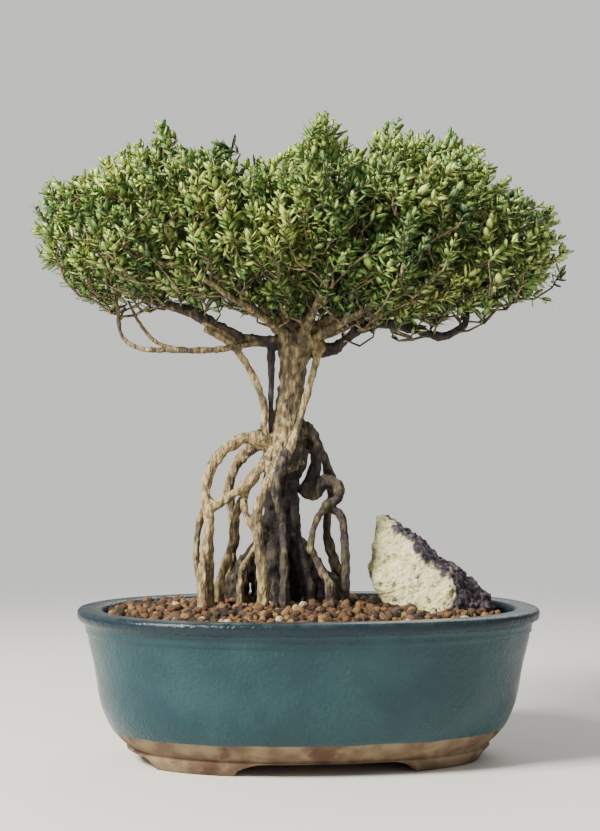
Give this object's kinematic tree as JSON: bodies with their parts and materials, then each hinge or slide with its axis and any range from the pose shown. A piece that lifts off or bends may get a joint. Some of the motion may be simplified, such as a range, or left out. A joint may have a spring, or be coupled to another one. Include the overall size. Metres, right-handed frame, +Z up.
{
  "type": "serissa bonsai in a glazed pot",
  "caption": "Small exposed-root tree with a wide leafy crown, planted in gravelly soil in an oval blue-green glazed pot, with a pale accent stone.",
  "frame": {"origin": "bottom centre of the whole object's bounding box, on the surface that the pot stands on", "axes": "+Z up; X runs along the pot's long side with +X to the right of someone looking at its front; the front of the pot faces -Y; the tree's own front is turned about 9 degrees from the pot's"},
  "size_m": [0.2372, 0.1474, 0.2783],
  "materials": {
    "glaze": "mottled blue-green glaze over stoneware, bare clay at the foot",
    "soil": "loose granules of fired clay and grit",
    "stone": "rough, pitted, with a dark crust",
    "bark": "rough bark",
    "leaf": "satin leaf",
    "mesh_plastic": "matt"
  },
  "bodies": {
    "root": {"drain_mesh_left": "mesh_plastic", "drain_mesh_right": "mesh_plastic", "pot": "glaze", "soil": "soil", "spray_01": "leaf", "spray_02": "leaf", "spray_03": "leaf", "spray_04": "leaf", "spray_05": "leaf", "spray_06": "leaf", "spray_07": "leaf", "spray_08": "leaf", "spray_09": "leaf", "spray_10": "leaf", "spray_11": "leaf", "spray_12": "leaf", "spray_13": "leaf", "spray_14": "leaf", "spray_15": "leaf", "spray_16": "leaf", "spray_17": "leaf", "spray_18": "leaf", "spray_19": "leaf", "spray_20": "leaf", "spray_21": "leaf", "spray_22": "leaf", "spray_23": "leaf", "spray_24": "leaf", "spray_25": "leaf", "spray_26": "leaf", "spray_27": "leaf", "spray_28": "leaf", "spray_29": "leaf", "spray_30": "leaf", "spray_31": "leaf", "spray_32": "leaf", "spray_33": "leaf", "spray_34": "leaf", "spray_35": "leaf", "spray_36": "leaf", "stone": "stone", "trunk_roots_branches": "bark"}
  },
  "joints": []
}
